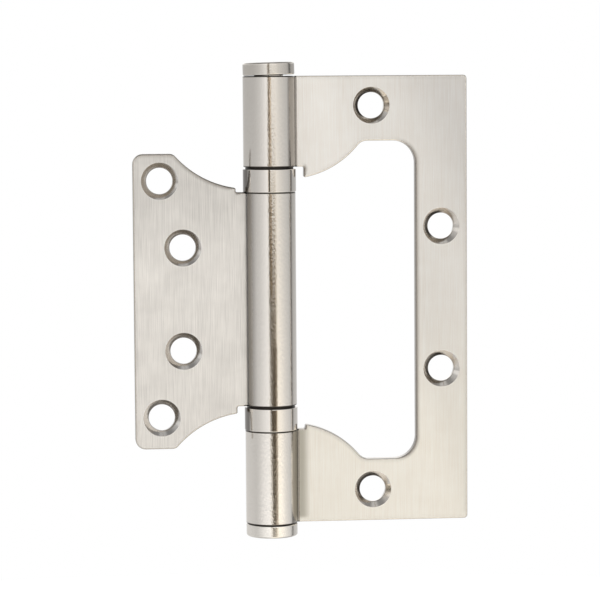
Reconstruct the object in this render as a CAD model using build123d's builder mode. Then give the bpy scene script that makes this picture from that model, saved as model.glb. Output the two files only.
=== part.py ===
from build123d import *
import os
from math import asin, atan2, cos, degrees, radians, sin, sqrt

# A butterfly hinge, open flat. Millimetres, +Z up along the pin, the origin on the pin's axis half way up
# the large leaf. The frame leaf reaches towards +X, the sash leaf towards -X, and both have their
# countersunk faces towards -Y. Swung half a turn about +Z, the sash leaf lies in the frame leaf's window.

# Sheet and pin
sheet = 2.5
pin_diameter = 6.5
pin_clearance = 0.05
pin_edge = 0.4
bend_radius = 0.5
seam_gap = 0.25
edge_round = 0.3

# Large leaf
frame_height = 100.0
frame_reach = 44.4
frame_front_lead = 0.5
frame_corner = 0.8

# Knuckle line, from the top down: knuckle, bearing, knuckle, bearing, knuckle
top_knuckle = 20.2
bottom_knuckle = 21.05
bearing_gap = 5.5

# Small leaf
sash_height = 65.7
sash_reach = 30.5
sash_rise = 0.1
sash_corner = 2.3
shoulder_x = 21.5
shoulder_round = 1.7
sweep_radius = 22.0
root_x = 7.7
foot_step = 1.3

# Window of the large leaf: the small leaf's outline with room around it
window_drop = 0.4
window_side_gap = 2.2
window_end_gap = 2.9
window_foot_gap = 2.5
window_shoulder_gap = 0.9
window_sweep_gap = 1.5
window_corner = 5.0

# Screw holes
hole_diameter = 5.8
countersink_diameter = 8.2
countersink_angle = 90.0
frame_hole_rise = 0.2
frame_arm_hole_x = 22.9
frame_arm_hole_outset = 0.275
frame_side_pitch = 32.1
sash_hole_rise = 0.5
sash_end_margin = 6.5
sash_edge_margin = 5.95
sash_inner_margin = 10.95
sash_inner_pitch = 23.0

# Button tips
cap_diameter = 11.5
cap_height = 2.8
cap_crown_round = 0.5
cap_rim_round = 0.25
stem_length = 2.5
stem_clearance = 0.1
top_cap_lift = 0.2
top_cap_lean = 1.4
bottom_cap_lift = 0.1
pin_end_gap = 0.5

# Ball bearings
shell_proud = 0.12
shell_wall = 0.5
shell_floor = 0.6
shell_reveal = 0.42
shell_round = 0.15
bearing_bore_clearance = 0.08
race_clearance = 0.05
lower_race_height = 1.3
ball_diameter = 1.5
ball_clearance = 0.05
ball_count = 10
ball_sunk = 0.3
cage_height = 0.7

# Sizes that follow
pin_radius = pin_diameter / 2
bore_radius = pin_radius + pin_clearance
knuckle_radius = bore_radius + sheet
frame_front = -frame_front_lead
frame_back = frame_front + sheet
sash_front = -frame_back
frame_top = frame_height / 2
middle_top = frame_top - top_knuckle - bearing_gap
middle_knuckle = frame_height - top_knuckle - bottom_knuckle - 2 * bearing_gap
middle_bottom = middle_top - middle_knuckle
lower_bearing_seat = middle_bottom - bearing_gap
sash_foot = middle_knuckle / 2 + foot_step
window_centre = sash_rise - window_drop
window_half_height = sash_height / 2 + window_end_gap
window_wall = sash_reach + window_side_gap

# Screw holes: in the middle of the large leaf's side, and a little outside the middle of its arms
frame_side_x = (window_wall + frame_reach) / 2
frame_arm_z = (window_half_height + frame_top) / 2 + frame_arm_hole_outset
sash_end_z = sash_height / 2 - sash_end_margin

# The plate's front face runs into the knuckle over a small bend, whose centre stands in front of the plate.
bend_centre_y = frame_front - bend_radius
bend_centre_x = sqrt((knuckle_radius + bend_radius) ** 2 - bend_centre_y**2)
bend_angle = degrees(atan2(bend_centre_y, bend_centre_x))
seam_angle = degrees(asin((frame_back + seam_gap) / knuckle_radius))


def knuckle_section():
    """The rolled sheet seen along the pin, from the plate round to the seam behind it."""
    bend_centre = (bend_centre_x, bend_centre_y)
    rolled = 360 - (seam_angle - bend_angle)
    seam_x, seam_y = cos(radians(seam_angle)), sin(radians(seam_angle))
    plate_x = root_x + sheet
    with BuildLine() as section:
        Line((plate_x, frame_front), (bend_centre_x, frame_front))
        CenterArc(bend_centre, bend_radius, 90, 90 + bend_angle)
        CenterArc((0, 0), knuckle_radius, bend_angle, -rolled)
        Line(
            (knuckle_radius * seam_x, knuckle_radius * seam_y),
            (bore_radius * seam_x, bore_radius * seam_y),
        )
        CenterArc((0, 0), bore_radius, seam_angle, rolled)
        CenterArc(bend_centre, bend_radius + sheet, 180 + bend_angle, -90 - bend_angle)
        Line((bend_centre_x, frame_back), (plate_x, frame_back))
        Line((plate_x, frame_back), (plate_x, frame_front))
    make_face(section.edges())


def wing_outline(start_x, foot, shoulder, half_height, reach, sweep, shoulder_fillet, corner_fillet):
    """A leaf's outline: a sweep from the foot at the knuckle up to the shoulder, then square ends."""
    with BuildLine() as outline:
        Line((start_x, 0), (start_x, foot))
        RadiusArc((start_x, foot), (shoulder, half_height), -sweep)
        Line((shoulder, half_height), (reach, half_height))
        Line((reach, half_height), (reach, 0))
        mirror(about=Plane.XZ)
    make_face(outline.edges())
    far_side = vertices().group_by(Axis.X)[-1]
    fillet(far_side.filter_by(lambda vertex: abs(vertex.Y) > half_height / 2), corner_fillet)
    shoulders = vertices().filter_by_position(Axis.X, shoulder - shoulder_fillet, shoulder + shoulder_fillet)
    fillet(shoulders, shoulder_fillet)


def rounded_edges(plate_builder):
    """The outline edges of a plate, front and back, apart from those at its knuckle side."""
    outline = plate_builder.faces().filter_by(Axis.Y).edges()
    return outline.filter_by(lambda edge: abs(edge.center().X) > root_x + edge_round)


# Large leaf: plate, window, two knuckles and four countersunk holes
with BuildPart() as frame_leaf:
    with BuildSketch(Plane.XZ.offset(-frame_back)):
        with Locations(((root_x + frame_reach) / 2, 0)):
            Rectangle(frame_reach - root_x, frame_height)
        fillet(vertices().group_by(Axis.X)[-1], frame_corner)
    extrude(amount=sheet)
    with BuildSketch(Plane((0, frame_back, window_centre), x_dir=(1, 0, 0), z_dir=(0, -1, 0))):
        wing_outline(
            root_x,
            sash_foot + window_foot_gap,
            shoulder_x - window_shoulder_gap,
            window_half_height,
            window_wall,
            sweep_radius - window_sweep_gap,
            shoulder_round + window_shoulder_gap,
            window_corner,
        )
    extrude(amount=sheet, mode=Mode.SUBTRACT)
    fillet(rounded_edges(frame_leaf), edge_round)
    with BuildSketch(Plane.XY.offset(frame_top - top_knuckle)):
        knuckle_section()
    extrude(amount=top_knuckle)
    with BuildSketch(Plane.XY.offset(-frame_top)):
        knuckle_section()
    extrude(amount=bottom_knuckle)
    with Locations(Plane((0, frame_front, frame_hole_rise), x_dir=(1, 0, 0), z_dir=(0, -1, 0))):
        with Locations(
            (frame_arm_hole_x, frame_arm_z),
            (frame_side_x, frame_side_pitch / 2),
            (frame_side_x, -frame_side_pitch / 2),
            (frame_arm_hole_x, -frame_arm_z),
        ):
            CounterSinkHole(
                hole_diameter / 2, countersink_diameter / 2, counter_sink_angle=countersink_angle
            )

# Small leaf: the same rolled section turned half a turn about the pin
with BuildPart() as sash_leaf:
    with BuildSketch(Plane((0, sash_front, sash_rise), x_dir=(-1, 0, 0), z_dir=(0, 1, 0))):
        wing_outline(
            root_x,
            sash_foot,
            shoulder_x,
            sash_height / 2,
            sash_reach,
            sweep_radius,
            shoulder_round,
            sash_corner,
        )
    extrude(amount=sheet)
    fillet(rounded_edges(sash_leaf), edge_round)
    with BuildSketch(Plane((0, 0, middle_bottom), x_dir=(-1, 0, 0), z_dir=(0, 0, 1))):
        knuckle_section()
    extrude(amount=middle_knuckle)
    with Locations(Plane((0, sash_front, sash_rise + sash_hole_rise), x_dir=(1, 0, 0), z_dir=(0, -1, 0))):
        with Locations(
            (sash_edge_margin - sash_reach, sash_end_z),
            (sash_inner_margin - sash_reach, sash_inner_pitch / 2),
            (sash_inner_margin - sash_reach, -sash_inner_pitch / 2),
            (sash_edge_margin - sash_reach, -sash_end_z),
        ):
            CounterSinkHole(
                hole_diameter / 2, countersink_diameter / 2, counter_sink_angle=countersink_angle
            )

# Pin: it stands on the bottom tip's stem and ends a little short of the top tip's
pin_bottom = -frame_top - bottom_cap_lift + stem_length
pin_top = frame_top + top_cap_lift - stem_length - pin_end_gap
with BuildPart() as hinge_pin:
    with BuildSketch(Plane.XY.offset(pin_bottom)):
        Circle(pin_radius)
    extrude(amount=pin_top - pin_bottom)
    chamfer(hinge_pin.edges().filter_by(GeomType.CIRCLE), pin_edge)


def button_tip(seat):
    """A turned button tip on the plane of its underside: a disc with rounded edges, and a stem."""
    with BuildPart() as tip:
        with BuildSketch(seat):
            Circle(cap_diameter / 2)
        extrude(amount=cap_height)
        rims = tip.edges().filter_by(GeomType.CIRCLE).sort_by(Axis(seat.origin, seat.z_dir))
        fillet(rims[-1], cap_crown_round)
        fillet(rims[0], cap_rim_round)
        with BuildSketch(seat):
            Circle(bore_radius - stem_clearance)
        extrude(amount=-stem_length)
    return tip


top_seat = Plane(
    origin=(0, 0, frame_top + top_cap_lift),
    x_dir=(cos(radians(top_cap_lean)), 0, sin(radians(top_cap_lean))),
    z_dir=(-sin(radians(top_cap_lean)), 0, cos(radians(top_cap_lean))),
)
bottom_seat = Plane(origin=(0, 0, -frame_top - bottom_cap_lift), x_dir=(1, 0, 0), z_dir=(0, 0, -1))
top_cap = button_tip(top_seat)
bottom_cap = button_tip(bottom_seat)

# Heights inside a bearing, above the knuckle face that it stands on
shell_radius = knuckle_radius + shell_proud
shell_bore = shell_radius - shell_wall
shell_height = bearing_gap - shell_reveal
bearing_bore = pin_radius + bearing_bore_clearance
race_radius = shell_bore - race_clearance
ball_radius = ball_diameter / 2
track_radius = (bearing_bore + race_radius) / 2
lower_race_top = shell_floor + lower_race_height
ball_level = lower_race_top + ball_radius - ball_sunk
upper_race_bottom = ball_level + ball_radius - ball_sunk


def ring(level, height, outer, inner):
    """A flat ring about the pin, added to the part that is being built."""
    with BuildSketch(Plane.XY.offset(level)) as washer:
        Circle(outer)
        Circle(inner, mode=Mode.SUBTRACT)
    extrude(washer.sketch, amount=height)


def ball_track(level):
    """The groove that the balls roll in, cut from the part that is being built."""
    with BuildSketch(Plane.XZ) as groove:
        with Locations((track_radius, level)):
            Circle(ball_radius + ball_clearance)
    revolve(groove.sketch, axis=Axis.Z, mode=Mode.SUBTRACT)


def bearing_shell(seat_level):
    """The polished cup round a bearing, with its floor on the knuckle below."""
    with BuildPart() as shell:
        ring(seat_level, shell_floor, shell_radius, bearing_bore)
        ring(seat_level + shell_floor, shell_height - shell_floor, shell_radius, shell_bore)
        outer_rims = shell.edges().filter_by(GeomType.CIRCLE).sort_by(SortBy.RADIUS)[-2:]
        fillet(outer_rims, shell_round)
    return shell


def bearing_race(seat_level, bottom, height):
    """A grooved race washer."""
    with BuildPart() as race:
        ring(seat_level + bottom, height, race_radius, bearing_bore)
        ball_track(seat_level + ball_level)
    return race


def ball_cage(seat_level):
    """The flat ring that keeps the balls apart, with a pocket for each."""
    with BuildPart() as cage:
        ring(seat_level + ball_level - cage_height / 2, cage_height, race_radius, bearing_bore)
        with BuildSketch(Plane.XY.offset(seat_level + ball_level - cage_height / 2)):
            with PolarLocations(track_radius, ball_count):
                Circle(ball_radius + ball_clearance)
        extrude(amount=cage_height, mode=Mode.SUBTRACT)
    return cage


def bearing_ball(seat_level, index):
    """One ball, at its own place round the track."""
    turn = radians(360 * index / ball_count)
    centre = (track_radius * cos(turn), track_radius * sin(turn), seat_level + ball_level)
    with BuildPart() as ball:
        with Locations(centre):
            Sphere(ball_radius)
    return ball


pieces = {
    "frame_leaf": frame_leaf,
    "sash_leaf": sash_leaf,
    "hinge_pin": hinge_pin,
    "top_cap": top_cap,
    "bottom_cap": bottom_cap,
}
for place, seat_level in (("upper", middle_top), ("lower", lower_bearing_seat)):
    pieces[f"{place}_shell"] = bearing_shell(seat_level)
    pieces[f"{place}_bottom_race"] = bearing_race(seat_level, shell_floor, lower_race_height)
    pieces[f"{place}_top_race"] = bearing_race(seat_level, upper_race_bottom, bearing_gap - upper_race_bottom)
    pieces[f"{place}_ball_cage"] = ball_cage(seat_level)
    for index in range(ball_count):
        pieces[f"{place}_ball_{index + 1:02d}"] = bearing_ball(seat_level, index)

os.makedirs("parts", exist_ok=True)
for name, piece in pieces.items():
    piece.part.label = name
    export_step(piece.part, f"parts/{name}.step")
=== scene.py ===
"""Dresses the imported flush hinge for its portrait.

The two leaves, the two bearing rings and the two button tips are made again as smooth surfaces in the
places of their solids. The pin, the races, the cages and the balls stay as packed and get their finishes.
Everything is in metres, +Z up along the pin, with the countersunk faces looking along -Y.
"""

import logging
import math
from dataclasses import dataclass, field, replace
from enum import Enum

import bpy
import numpy as np
from mathutils import Matrix, Vector
from mathutils.geometry import delaunay_2d_cdt

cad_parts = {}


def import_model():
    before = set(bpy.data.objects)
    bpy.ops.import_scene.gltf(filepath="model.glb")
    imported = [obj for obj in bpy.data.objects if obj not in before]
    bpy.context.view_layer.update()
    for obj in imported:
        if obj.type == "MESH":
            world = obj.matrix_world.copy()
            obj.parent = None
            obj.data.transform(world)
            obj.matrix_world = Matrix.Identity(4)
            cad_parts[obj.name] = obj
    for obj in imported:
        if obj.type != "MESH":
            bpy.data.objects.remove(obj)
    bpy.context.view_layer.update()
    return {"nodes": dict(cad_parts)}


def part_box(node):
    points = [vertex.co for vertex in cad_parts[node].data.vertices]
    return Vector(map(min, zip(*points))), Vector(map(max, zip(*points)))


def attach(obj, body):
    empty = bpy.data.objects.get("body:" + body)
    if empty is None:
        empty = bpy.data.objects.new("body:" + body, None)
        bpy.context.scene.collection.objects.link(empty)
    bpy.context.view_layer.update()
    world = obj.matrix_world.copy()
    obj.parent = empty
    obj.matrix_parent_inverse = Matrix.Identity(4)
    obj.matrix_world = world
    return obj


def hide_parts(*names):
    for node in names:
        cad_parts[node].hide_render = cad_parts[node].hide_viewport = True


LOG = logging.getLogger("flush_hinge")
MM = 0.001
TOUCHING = 1e-6
CORNER_STEP = 0.25

# Headings of a walk: east along the first axis, north along the second.
EAST, NORTH, WEST, SOUTH, FULL_TURN = (quarters * math.pi / 2 for quarters in range(5))

Tree = bpy.types.NodeTree
Signal = bpy.types.Node | bpy.types.NodeSocket
Point = tuple[float, float]
Span = tuple[float, float]
Arc = tuple[Point, float, float, float]
Faces = list[tuple[int, ...]]


class Side(Enum):
    """Which face of a rolled sheet is meant: the one that ends up outside the roll, or the other."""

    OUTSIDE = 1
    INSIDE = -1


class Grain(Enum):
    """Which way the fine lines of a finish run."""

    ALONG_PIN = "along the pin"
    ROUND_PIN = "round the pin"
    ALL_WAYS = "all ways"


class SheetFinish(Enum):
    """The material slots of a leaf, in the order that its mesh holds them."""

    FACE = 0
    KNUCKLE = 1
    COUNTERSINK = 2
    EDGE = 3
    KNUCKLE_END = 4


def linear(hex_colour: str) -> tuple[float, float, float, float]:
    """Turns an sRGB hex colour into the linear colour that a shader takes.

    Args:
        hex_colour: six hex digits, with or without a leading hash.

    Returns:
        Red, green, blue and an alpha of one.
    """
    digits = hex_colour.lstrip("#")
    srgb = np.array([int(digits[i : i + 2], 16) for i in (0, 2, 4)]) / 255
    values = np.where(srgb <= 0.04045, srgb / 12.92, ((srgb + 0.055) / 1.055) ** 2.4)
    return (*values.tolist(), 1.0)


def emptied(owner: bpy.types.Material | bpy.types.World) -> Tree:
    """Gives a new material or world an empty node tree.

    Args:
        owner: the material or world.

    Returns:
        Its node tree.
    """
    owner.use_nodes = True
    owner.node_tree.nodes.clear()
    return owner.node_tree


def add_node(
    tree: Tree, kind: str, inputs: dict[str | int, object] | None = None, **settings: object
) -> bpy.types.Node:
    """Adds one node, with its settings, its socket values and its links.

    Args:
        tree: the node tree that takes it.
        kind: Blender's name of the node type.
        inputs: for each input socket, by name or number, a value, the output socket that feeds it, or the
            node whose first output in use feeds it.
        settings: properties of the node itself.

    Returns:
        The new node.
    """
    node = tree.nodes.new(kind)
    for name, value in settings.items():
        setattr(node, name, value)
    for socket, value in (inputs or {}).items():
        if isinstance(value, bpy.types.Node):
            value = next(output for output in value.outputs if output.enabled)
        if isinstance(value, bpy.types.NodeSocket):
            tree.links.new(value, node.inputs[socket])
        else:
            node.inputs[socket].default_value = value
    return node


def mask(tree: Tree, *steps: tuple[Signal, float, float]) -> Signal:
    """Multiplies smooth steps into one share.

    Args:
        tree: the node tree that takes it.
        steps: for each step the value that it reads, where it is 0 and where it is 1.

    Returns:
        The share, from 0 to 1.
    """
    share = None
    for value, start, end in steps:
        step = add_node(
            tree, "ShaderNodeMapRange", {"Value": value, "From Min": start, "From Max": end},
            interpolation_type="SMOOTHSTEP",
        )
        share = step if share is None else add_node(
            tree, "ShaderNodeMath", {0: share, 1: step}, operation="MULTIPLY"
        )
    return share


def set_stops(ramp: bpy.types.Node, stops: list[tuple[float, tuple[float, ...]]]) -> None:
    """Puts stops on a ramp of light.

    Args:
        ramp: the ramp's node.
        stops: places from 0 to 1 in rising order, with linear colours.
    """
    elements = ramp.color_ramp.elements
    while len(elements) < len(stops):
        elements.new(0.5)
    for element, (place, _) in zip(elements, stops):
        element.position = place
    for element, (_, colour) in zip(elements, stops):
        element.color = colour


def as_faces(numbers: np.ndarray) -> Faces:
    """Turns rows of point numbers into faces."""
    return [tuple(row) for row in numbers.tolist()]


def grid_quads(rows: int, columns: int, across: int) -> np.ndarray:
    """Joins a grid of points into quads, with the rows closed round on themselves.

    Args:
        rows: number of rows.
        columns: points in each row.
        across: quads across, one less than the columns, or as many where the columns close too.

    Returns:
        Rows of four point numbers.
    """
    i, j = np.meshgrid(np.arange(rows), np.arange(across), indexing="ij")
    here, after, above = i * columns, (i + 1) % rows * columns, (j + 1) % columns
    return np.stack([here + j, here + above, after + above, after + j], axis=-1).reshape(-1, 4)


@dataclass
class Surface:
    """A mesh in the making: points, their normals, faces, each face's material slot and the painted shade at
    its edges and countersinks.
    """

    points: np.ndarray
    normals: np.ndarray
    faces: Faces
    slots: list[int]
    wear: np.ndarray | None = None

    def make(self, name: str, materials: list[bpy.types.Material]) -> bpy.types.Object:
        """Puts the surface into a mesh object that stands at the origin.

        Args:
            name: the object's name.
            materials: one material for each slot number in use.

        Returns:
            The linked object.
        """
        mesh = bpy.data.meshes.new(name)
        mesh.from_pydata(self.points.tolist(), [], self.faces)
        for material in materials:
            mesh.materials.append(material)
        mesh.polygons.foreach_set("material_index", np.array(self.slots, dtype=np.int32))
        mesh.polygons.foreach_set("use_smooth", np.ones(len(self.faces), dtype=bool))
        mesh.update()
        mesh.validate()
        mesh.normals_split_custom_set_from_vertices(self.normals.tolist())
        # Share of painted shade at each point, along the edges and on one side of each countersink.
        if self.wear is not None:
            mesh.attributes.new("edge_wear", "FLOAT", "POINT").data.foreach_set("value", self.wear)
        piece = bpy.data.objects.new(name, mesh)
        bpy.context.scene.collection.objects.link(piece)
        return piece


@dataclass
class Outline:
    """A closed line walked with the metal on its left: its points, with the heading and radius at each."""

    points: list[np.ndarray] = field(default_factory=list)
    headings: list[np.ndarray] = field(default_factory=list)
    radii: list[np.ndarray] = field(default_factory=list)

    def bend(self, centre: Point, radius: float, start: float, end: float, step: float = 0.1) -> None:
        """Adds an arc.

        The point at heading h is the centre plus radius times (sin h, -cos h), which is the direction to
        the right of the walk. A positive radius turns left round metal, a negative one turns right.

        Args:
            centre: the arc's centre.
            radius: the signed radius.
            start: heading where the arc begins, in radians.
            end: heading where it ends.
            step: the largest turn between two points.
        """
        heading = np.linspace(start, end, max(3, math.ceil(abs(end - start) / step) + 1))
        out = np.stack([np.sin(heading), -np.cos(heading)], axis=1)
        self.points.append(np.array(centre) + radius * out)
        self.headings.append(heading)
        self.radii.append(np.full_like(heading, radius if radius > 0 else math.inf))

    def corner(self, at: Point, start: float, end: float, radius: float) -> None:
        """Adds a rounded corner between two straight runs.

        The centre lies a radius to the side of the turn, from the point that is radius times the tangent
        of half the turn before the corner.

        Args:
            at: where the two runs would meet.
            start: heading of the first run, in radians.
            end: heading of the second run.
            radius: the radius, always positive.
        """
        turn = end - start
        back = radius * math.tan(abs(turn) / 2)
        signed = math.copysign(radius, turn)
        centre = (
            at[0] - back * math.cos(start) - signed * math.sin(start),
            at[1] - back * math.sin(start) + signed * math.cos(start),
        )
        self.bend(centre, signed, start, end, CORNER_STEP)

    def run(self, along: np.ndarray, level: float, heading: float) -> None:
        """Adds points along a level stretch, so that it can be rolled.

        Args:
            along: the points' first coordinate, in the order walked.
            level: their second coordinate.
            heading: the heading of the walk, in radians.
        """
        self.points.append(np.stack([along, np.full_like(along, level)], axis=1))
        self.headings.append(np.full_like(along, heading))
        self.radii.append(np.full_like(along, math.inf))

    def closed(self) -> tuple[np.ndarray, np.ndarray]:
        """Gives all points and the direction out of the metal at each."""
        heading = np.concatenate(self.headings)
        return np.concatenate(self.points), np.stack([np.sin(heading), -np.cos(heading)], axis=1)

    def closer(self, longest: float) -> "Outline":
        """Puts evenly spaced points into the straight runs and leaves out doubled points.

        Args:
            longest: the greatest distance that stays without a point.

        Returns:
            The same line with more points.
        """
        points, _ = self.closed()
        heading, radius = np.concatenate(self.headings), np.concatenate(self.radii)
        after = np.roll(points, -1, axis=0)
        gaps = np.hypot(*(after - points).T)
        pieces = np.where(gaps < TOUCHING, 0, np.ceil(gaps / longest)).astype(int)
        rows = []
        for start, end, turn, bend, count in zip(points, after, heading, radius, pieces):
            share = np.arange(count)[:, None] / max(count, 1)
            spread = start + (end - start) * share
            bends = np.where(share[:, 0] == 0, bend, math.inf)
            rows.append(np.column_stack([spread, np.full(len(share), turn), bends]))
        table = np.concatenate(rows)
        return Outline([table[:, :2]], [table[:, 2]], [table[:, 3]])


@dataclass(frozen=True)
class Wing:
    """The outline that the small leaf and the large leaf's window share, about its own level."""

    foot_x: float
    foot: float
    shoulder_x: float
    half_height: float
    reach: float
    sweep: float
    shoulder_round: float
    corner_round: float
    level: float

    def arcs(self, trim: float) -> list[Arc]:
        """Lists the arcs of the whole outline, walked with its inside on the left.

        The sweep is a circle through the foot and the shoulder, with its centre above their chord. The
        shoulder's circle touches the level end from inside and the sweep from outside.

        Args:
            trim: the length that the sweeps stop short of the foot, for the tip's own corner.

        Returns:
            Centre, signed radius, first and last heading of each arc, from the lower foot to the upper.
        """
        foot = np.array([self.foot_x, self.foot])
        shoulder = np.array([self.shoulder_x, self.half_height])
        chord = shoulder - foot
        length = float(np.hypot(*chord))
        upward = np.array([-chord[1], chord[0]]) / length
        centre = (foot + shoulder) / 2 + upward * math.sqrt(self.sweep**2 - length**2 / 4)
        round_y = self.half_height - self.shoulder_round
        reach = self.sweep + self.shoulder_round
        round_x = centre[0] + math.sqrt(reach**2 - (round_y - centre[1]) ** 2)
        to_centre = math.atan2(centre[1] - round_y, centre[0] - round_x) + math.pi / 2
        at_foot = math.atan2(*(centre - foot)[::-1]) + math.pi / 2 + trim / self.sweep
        corner = self.corner_round
        upper = [
            ((self.reach - corner, self.half_height - corner), corner, NORTH, WEST),
            ((round_x, round_y), self.shoulder_round, WEST, to_centre),
            (tuple(centre), -self.sweep, to_centre, at_foot),
        ]
        lower = [((c[0], -c[1]), r, WEST - end, WEST - start) for c, r, start, end in reversed(upper)]
        return [((c[0], c[1] + self.level), r, start, end) for c, r, start, end in lower + upper]

    def foot_heading(self) -> float:
        """Gives the heading at which the upper sweep comes down to the foot."""
        return self.arcs(0.0)[-1][3]


@dataclass(frozen=True)
class EdgeShade:
    """How much painted shade a leaf's edges take: its level ones, its upright ones, and what a direction
    adds.
    """

    level: float
    upright: float
    towards: Span

    def shares(self, out: np.ndarray) -> np.ndarray:
        """Gives the painted shade at each point of an outline.

        It goes from the level edges' to the upright edges' with one less the eighth power of the outward
        direction's rise, so that sweeps count as upright, and adds the direction's product with towards.

        Args:
            out: the direction out of the metal at each point.

        Returns:
            The share of painted shade, from 0 to 1.
        """
        plain = self.upright + (self.level - self.upright) * out[:, 1] ** 8
        return (plain + out @ np.array(self.towards)).clip(0, 1)


@dataclass
class RolledSheet:
    """One leaf: a stamped sheet with rounded edges, countersunk holes and rolled knuckles."""

    name: str
    body: str
    node: str
    outline: Outline
    tabs: list[Span]
    holes: list[Point]
    countersunk: Side
    turned: bool
    thickness: float
    front: float
    knuckle_radius: float
    bend_radius: float
    seam_x: float
    edge_round: float
    hole_radius: float
    sink_radius: float
    # Painted shade along the edges, by which way they face, and on one side of each countersink.
    wear: EdgeShade
    dull_heading: float | None = None
    shaded_shares: Span = (0.15, 0.52)
    shaded_cosine: float = 0.45
    rim_round: float = 0.09 * MM
    throat_round: float = 0.4 * MM
    # Widths of the band of painted shade inside the edges.
    shaded_width: float = 0.9 * MM
    least_shaded_width: float = 0.03 * MM
    shaded_corner_share: float = 0.8
    shaded_past_bend: float = 0.2 * MM
    shaded_growth: float = 0.7
    brushed_past: float = 2.2 * MM
    edge_steps: int = 6
    hole_steps: int = 96
    sink_turn: float = 0.27
    back_turn: float = 0.4

    @property
    def half(self) -> float:
        """Half of the sheet's thickness."""
        return self.thickness / 2

    @property
    def bend_centre(self) -> Point:
        """The centre of the small bend where the plate runs into the roll."""
        y = self.front - self.bend_radius
        return math.sqrt((self.knuckle_radius + self.bend_radius) ** 2 - y**2), y

    def rolled(self, flat: np.ndarray) -> tuple[np.ndarray, np.ndarray, np.ndarray]:
        """Rolls points of the flat sheet round the pin.

        The flat sheet has u from the pin outwards, z along the pin and t through the thickness. Beyond
        the bend's centre u is x. Before it the middle of the sheet first turns about the bend's centre,
        then about the pin, each by its arc length over its radius, and t stays square to it.

        Args:
            flat: points as rows of u, z, t.

        Returns:
            The rolled points, the unit direction of u and the unit direction of t at each.
        """
        u, z, t = flat.T
        centre_x, centre_y = self.bend_centre
        bend_middle = self.bend_radius + self.half
        roll_middle = self.knuckle_radius - self.half
        slope = math.atan2(centre_y, centre_x)
        bend_length = bend_middle * (math.pi / 2 + slope)
        back = np.maximum(centre_x - u, 0)
        bend = math.pi / 2 + np.minimum(back, bend_length) / bend_middle
        roll = slope - np.maximum(back - bend_length, 0) / roll_middle
        on_plate = u >= centre_x
        in_bend = ~on_plate & (back <= bend_length)
        x = np.where(on_plate, u, np.where(in_bend, centre_x + (bend_middle - t) * np.cos(bend), 0))
        y = np.where(on_plate, self.front + self.half - t, centre_y + (bend_middle - t) * np.sin(bend))
        in_roll = ~on_plate & ~in_bend
        x = np.where(in_roll, (roll_middle + t) * np.cos(roll), x)
        y = np.where(in_roll, (roll_middle + t) * np.sin(roll), y)
        tangent_x = np.where(on_plate, 1.0, np.where(in_bend, np.sin(bend), -np.sin(roll)))
        tangent_y = np.where(on_plate, 0.0, np.where(in_bend, -np.cos(bend), np.cos(roll)))
        sign = -1.0 if self.turned else 1.0
        zero = np.zeros_like(z)
        return (
            np.stack([sign * x, sign * y, z], axis=1),
            np.stack([sign * tangent_x, sign * tangent_y, zero], axis=1),
            np.stack([sign * tangent_y, -sign * tangent_x, zero], axis=1),
        )

    def edge_profile(self) -> np.ndarray:
        """Draws the rounded edge: a quarter circle at each face with a straight side between them.

        Returns:
            Rows of inset, t, sideways normal and normal along t, outside face first.
        """
        turn = np.linspace(0, math.pi / 2, self.edge_steps)
        inset = self.edge_round * (1 - np.sin(turn))
        depth = self.half - self.edge_round * (1 - np.cos(turn))
        upper = np.stack([inset, depth, np.sin(turn), np.cos(turn)], axis=1)
        lower = upper[::-1] * np.array([1, -1, 1, -1])
        return np.concatenate([upper, lower])

    def shaded_widths(self, border: np.ndarray, radii: np.ndarray) -> np.ndarray:
        """Gives the width of the band of painted shade inside the edge, at each point of the outline.

        It is the full width, but a share of the inner radius in a tight corner and next to nothing on the
        rolled part, and grows from there with the way walked.

        Args:
            border: the outline's points.
            radii: the outline's radius at each.

        Returns:
            The widths.
        """
        limit = (radii - self.edge_round) * self.shaded_corner_share
        limit = limit.clip(self.least_shaded_width, self.shaded_width)
        limit[border[:, 0] < self.bend_centre[0] + self.shaded_past_bend] = self.least_shaded_width
        step = np.hypot(*(np.roll(border, -1, axis=0) - border).T)
        walked = np.concatenate([[0], np.cumsum(step)[:-1]])
        apart = abs(walked[:, None] - walked[None, :])
        apart = np.minimum(apart, step.sum() - apart)
        return (limit[None, :] + self.shaded_growth * apart).min(axis=1).clip(max=self.shaded_width)

    def hole_profile(self) -> np.ndarray:
        """Draws a countersunk hole's section, walked with the metal on the left.

        A rounded rim, a cone of 45 degrees with a row at each of two shares of its width, where the painted
        shade begins and where it is full, a rounded throat, a straight bore and a rounded back rim.

        Returns:
            Rows of radius, t, radial normal and normal along t, outside face first.
        """
        rim, throat, bore = self.rim_round, self.throat_round, self.hole_radius
        slant, ease = (WEST + SOUTH) / 2, math.tan(math.pi / 8)
        throat_level = self.half - self.sink_radius + bore - throat * ease
        section = Outline()
        section.bend((self.sink_radius + rim * ease, self.half - rim), rim, WEST, slant, self.sink_turn)
        section.bend((bore + throat, throat_level), throat, slant, SOUTH, self.sink_turn)
        section.bend((bore + rim, rim - self.half), rim, SOUTH, FULL_TURN, self.back_turn)
        rows = np.column_stack(section.closed())
        rim_rows = len(section.points[0])
        foot, top = rows[rim_rows - 1], rows[rim_rows]
        cone = foot + (top - foot) * np.array(self.shaded_shares)[:, None]
        profile = np.concatenate([rows[:rim_rows], cone, rows[rim_rows:]])
        if self.countersunk is Side.INSIDE:
            profile = profile[::-1] * np.array([1, -1, 1, -1])
        return profile

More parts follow.
